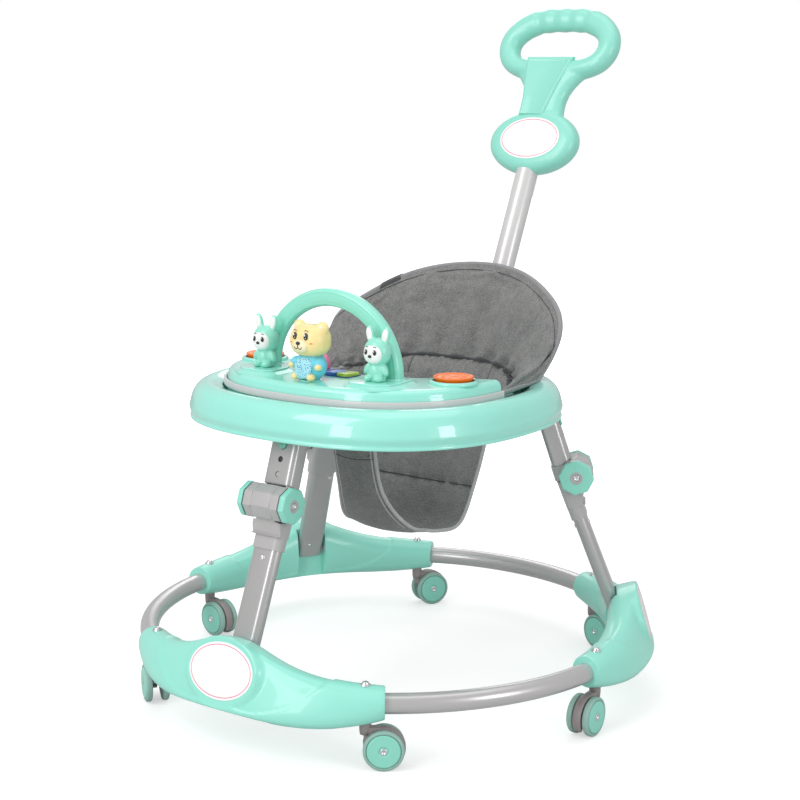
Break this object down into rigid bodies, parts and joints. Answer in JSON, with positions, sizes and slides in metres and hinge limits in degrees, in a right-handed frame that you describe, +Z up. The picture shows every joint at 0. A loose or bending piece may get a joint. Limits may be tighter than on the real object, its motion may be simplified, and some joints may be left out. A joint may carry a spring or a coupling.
{
  "type": "baby walker",
  "caption": "Round-base baby walker: folding legs on a ring with swivel casters, tray with toys, fabric seat and a rear push handle.",
  "frame": {"origin": "on the floor under the middle of the overall box", "axes": "+Z up, -Y to the front where the toy tray is, +X to the right when seen from the front"},
  "size_m": [0.6986, 0.8154, 0.9169],
  "materials": {
    "ring_grey": "satin",
    "shroud_mint": "gloss",
    "pin_steel": "brushed",
    "fork_grey": "satin",
    "wheel_mint": "gloss",
    "leg_grey": "satin",
    "knuckle_grey": "satin",
    "bolt_steel": "polished",
    "release_mint": "gloss",
    "height_green": "gloss",
    "tongue_grey": "satin",
    "tray_mint": "gloss",
    "trim_grey": "satin",
    "toy_tray_mint": "gloss",
    "arch_mint": "gloss",
    "rabbit_mint": "gloss",
    "bear_cream": "gloss",
    "button_orange": "gloss",
    "key_blue": "gloss",
    "seat_cloth": "heather weave",
    "tube_white": "gloss",
    "grip_mint": "gloss"
  },
  "bodies": {
    "base": {"base_ring": "ring_grey", "shroud_front": "shroud_mint", "shroud_right": "shroud_mint", "shroud_left": "shroud_mint", "pivot_pin_front": "pin_steel", "pivot_pin_right": "pin_steel", "pivot_pin_left": "pin_steel"},
    "caster_front_1": {"caster_fork_front_1": "fork_grey"},
    "wheels_front_1": {"caster_wheels_front_1": "wheel_mint"},
    "caster_front_2": {"caster_fork_front_2": "fork_grey"},
    "wheels_front_2": {"caster_wheels_front_2": "wheel_mint"},
    "caster_right_1": {"caster_fork_right_1": "fork_grey"},
    "wheels_right_1": {"caster_wheels_right_1": "wheel_mint"},
    "caster_right_2": {"caster_fork_right_2": "fork_grey"},
    "wheels_right_2": {"caster_wheels_right_2": "wheel_mint"},
    "caster_left_1": {"caster_fork_left_1": "fork_grey"},
    "wheels_left_1": {"caster_wheels_left_1": "wheel_mint"},
    "caster_left_2": {"caster_fork_left_2": "fork_grey"},
    "wheels_left_2": {"caster_wheels_left_2": "wheel_mint"},
    "lower_front": {"lower_leg_front": "leg_grey", "lower_knuckle_front": "knuckle_grey"},
    "upper_front": {"upper_leg_front": "leg_grey", "upper_knuckle_front": "knuckle_grey", "knee_bolt_front": "bolt_steel", "tongue_front": "tongue_grey"},
    "release_front_1": {"release_front_1": "release_mint"},
    "release_front_2": {"release_front_2": "release_mint"},
    "height_button_front": {"height_button_front": "height_green"},
    "lower_right": {"lower_leg_right": "leg_grey", "lower_knuckle_right": "knuckle_grey"},
    "upper_right": {"upper_leg_right": "leg_grey", "upper_knuckle_right": "knuckle_grey", "knee_bolt_right": "bolt_steel", "tongue_right": "tongue_grey"},
    "release_right_1": {"release_right_1": "release_mint"},
    "release_right_2": {"release_right_2": "release_mint"},
    "height_button_right": {"height_button_right": "height_green"},
    "lower_left": {"lower_leg_left": "leg_grey", "lower_knuckle_left": "knuckle_grey"},
    "upper_left": {"upper_leg_left": "leg_grey", "upper_knuckle_left": "knuckle_grey", "knee_bolt_left": "bolt_steel", "tongue_left": "tongue_grey"},
    "release_left_1": {"release_left_1": "release_mint"},
    "release_left_2": {"release_left_2": "release_mint"},
    "height_button_left": {"height_button_left": "height_green"},
    "tray": {"tray": "tray_mint", "trim_band": "trim_grey", "seat_back": "seat_cloth", "seat_sling": "seat_cloth"},
    "toy_tray": {"toy_tray": "toy_tray_mint", "toy_arch": "arch_mint", "rabbit_left": "rabbit_mint", "rabbit_right": "rabbit_mint"},
    "bear": {"bear": "bear_cream"},
    "toy_button_left": {"toy_button_left": "button_orange"},
    "toy_button_right": {"toy_button_right": "button_orange"},
    "music_keys": {"music_keys": "key_blue"},
    "push_handle": {"push_tube": "tube_white", "push_grip": "grip_mint"}
  },
  "joints": [
    {"name": "swivel_front_1", "type": "hinge", "parent": "base", "child": "caster_front_1", "pos_m": [-0.16836, -0.32818, 0.06], "axis": [0, 0, 1], "continuous": true},
    {"name": "spin_front_1", "type": "hinge", "parent": "caster_front_1", "child": "wheels_front_1", "pos_m": [-0.18616, -0.31525, 0.025], "axis": [-0.5878, -0.809, 0], "continuous": true},
    {"name": "swivel_front_2", "type": "hinge", "parent": "base", "child": "caster_front_2", "pos_m": [0.16836, -0.32818, 0.06], "axis": [0, 0, 1], "continuous": true},
    {"name": "spin_front_2", "type": "hinge", "parent": "caster_front_2", "child": "wheels_front_2", "pos_m": [0.18616, -0.31525, 0.025], "axis": [-0.5878, 0.809, 0], "continuous": true},
    {"name": "swivel_right_1", "type": "hinge", "parent": "base", "child": "caster_right_1", "pos_m": [0.32493, -0.05699, 0.06], "axis": [0, 0, 1], "continuous": true},
    {"name": "spin_right_1", "type": "hinge", "parent": "caster_right_1", "child": "wheels_right_1", "pos_m": [0.32531, -0.07899, 0.025], "axis": [0.9998, 0.0175, 0], "continuous": true},
    {"name": "swivel_right_2", "type": "hinge", "parent": "base", "child": "caster_right_2", "pos_m": [0.15657, 0.23461, 0.06], "axis": [0, 0, 1], "continuous": true},
    {"name": "spin_right_2", "type": "hinge", "parent": "caster_right_2", "child": "wheels_right_2", "pos_m": [0.17761, 0.22818, 0.025], "axis": [0.2924, 0.9563, 0], "continuous": true},
    {"name": "swivel_left_1", "type": "hinge", "parent": "base", "child": "caster_left_1", "pos_m": [-0.15657, 0.23461, 0.06], "axis": [0, 0, 1], "continuous": true},
    {"name": "spin_left_1", "type": "hinge", "parent": "caster_left_1", "child": "wheels_left_1", "pos_m": [-0.14557, 0.25366, 0.025], "axis": [-0.866, 0.5, 0], "continuous": true},
    {"name": "swivel_left_2", "type": "hinge", "parent": "base", "child": "caster_left_2", "pos_m": [-0.32493, -0.05699, 0.06], "axis": [0, 0, 1], "continuous": true},
    {"name": "spin_left_2", "type": "hinge", "parent": "caster_left_2", "child": "wheels_left_2", "pos_m": [-0.30326, -0.06081, 0.025], "axis": [0.1736, 0.9848, 0], "continuous": true},
    {"name": "fold_front", "type": "hinge", "parent": "base", "child": "lower_front", "pos_m": [0, -0.35789, 0.099], "axis": [-1, 0, 0], "range_deg": [0, 57]},
    {"name": "knee_front", "type": "hinge", "parent": "lower_front", "child": "upper_front", "pos_m": [0, -0.29859, 0.2918], "axis": [-1, 0, 0], "range_deg": [-155.05, 0]},
    {"name": "release_front_1_press", "type": "slide", "parent": "upper_front", "child": "release_front_1", "axis": [1, 0, 0], "range_m": [0, 0.002], "stiffness_N_per_m": 600, "springref_m": -0.002},
    {"name": "release_front_2_press", "type": "slide", "parent": "upper_front", "child": "release_front_2", "axis": [-1, 0, 0], "range_m": [0, 0.002], "stiffness_N_per_m": 600, "springref_m": -0.002},
    {"name": "height_button_front_press", "type": "slide", "parent": "upper_front", "child": "height_button_front", "axis": [0, 0.9479, -0.3185], "range_m": [0, 0.0015], "stiffness_N_per_m": 600, "springref_m": -0.002},
    {"name": "fold_right", "type": "hinge", "parent": "base", "child": "lower_right", "pos_m": [0.26648, 0.10366, 0.099], "axis": [0.5, -0.866, 0], "range_deg": [0, 57]},
    {"name": "knee_right", "type": "hinge", "parent": "lower_right", "child": "upper_right", "pos_m": [0.21512, 0.07401, 0.2918], "axis": [0.5, -0.866, 0], "range_deg": [-155.05, 0]},
    {"name": "release_right_1_press", "type": "slide", "parent": "upper_right", "child": "release_right_1", "axis": [-0.5, 0.866, 0], "range_m": [0, 0.002], "stiffness_N_per_m": 600, "springref_m": -0.002},
    {"name": "release_right_2_press", "type": "slide", "parent": "upper_right", "child": "release_right_2", "axis": [0.5, -0.866, 0], "range_m": [0, 0.002], "stiffness_N_per_m": 600, "springref_m": -0.002},
    {"name": "height_button_right_press", "type": "slide", "parent": "upper_right", "child": "height_button_right", "axis": [-0.8209, -0.474, -0.3185], "range_m": [0, 0.0015], "stiffness_N_per_m": 600, "springref_m": -0.002},
    {"name": "fold_left", "type": "hinge", "parent": "base", "child": "lower_left", "pos_m": [-0.26648, 0.10366, 0.099], "axis": [0.5, 0.866, 0], "range_deg": [0, 57]},
    {"name": "knee_left", "type": "hinge", "parent": "lower_left", "child": "upper_left", "pos_m": [-0.21512, 0.07401, 0.2918], "axis": [0.5, 0.866, 0], "range_deg": [-155.05, 0]},
    {"name": "release_left_1_press", "type": "slide", "parent": "upper_left", "child": "release_left_1", "axis": [-0.5, -0.866, 0], "range_m": [0, 0.002], "stiffness_N_per_m": 600, "springref_m": -0.002},
    {"name": "release_left_2_press", "type": "slide", "parent": "upper_left", "child": "release_left_2", "axis": [0.5, 0.866, 0], "range_m": [0, 0.002], "stiffness_N_per_m": 600, "springref_m": -0.002},
    {"name": "height_button_left_press", "type": "slide", "parent": "upper_left", "child": "height_button_left", "axis": [0.8209, -0.474, -0.3185], "range_m": [0, 0.0015], "stiffness_N_per_m": 600, "springref_m": -0.002},
    {"name": "tray_level", "type": "hinge", "parent": "upper_front", "child": "tray", "pos_m": [0, -0.2568, 0.38095], "axis": [-1, 0, 0], "range_deg": [0, 98.05], "deforming": ["seat_sling"]},
    {"name": "toy_tray_lift", "type": "slide", "parent": "tray", "child": "toy_tray", "axis": [0, 0, 1], "range_m": [0, 0.06]},
    {"name": "bear_turn", "type": "hinge", "parent": "toy_tray", "child": "bear", "pos_m": [0, -0.22019, 0.434], "axis": [0, 0, 1], "continuous": true},
    {"name": "toy_button_left_press", "type": "slide", "parent": "toy_tray", "child": "toy_button_left", "axis": [0, 0, -1], "range_m": [0, 0.003], "stiffness_N_per_m": 600, "springref_m": -0.002},
    {"name": "toy_button_right_press", "type": "slide", "parent": "toy_tray", "child": "toy_button_right", "axis": [0, 0, -1], "range_m": [0, 0.003], "stiffness_N_per_m": 600, "springref_m": -0.002},
    {"name": "music_keys_press", "type": "slide", "parent": "toy_tray", "child": "music_keys", "axis": [0, 0, -1], "range_m": [0, 0.002], "stiffness_N_per_m": 600, "springref_m": -0.002},
    {"name": "push_handle_lift", "type": "slide", "parent": "tray", "child": "push_handle", "axis": [0, 0.4163, 0.9092], "range_m": [0, 0.06]}
  ],
  "couplings": [
    {"joint": "knee_front", "follows": "fold_front", "ratio": -2.72},
    {"joint": "fold_right", "follows": "fold_front", "ratio": 1},
    {"joint": "knee_right", "follows": "fold_front", "ratio": -2.72},
    {"joint": "fold_left", "follows": "fold_front", "ratio": 1},
    {"joint": "knee_left", "follows": "fold_front", "ratio": -2.72},
    {"joint": "tray_level", "follows": "fold_front", "ratio": 1.72}
  ]
}
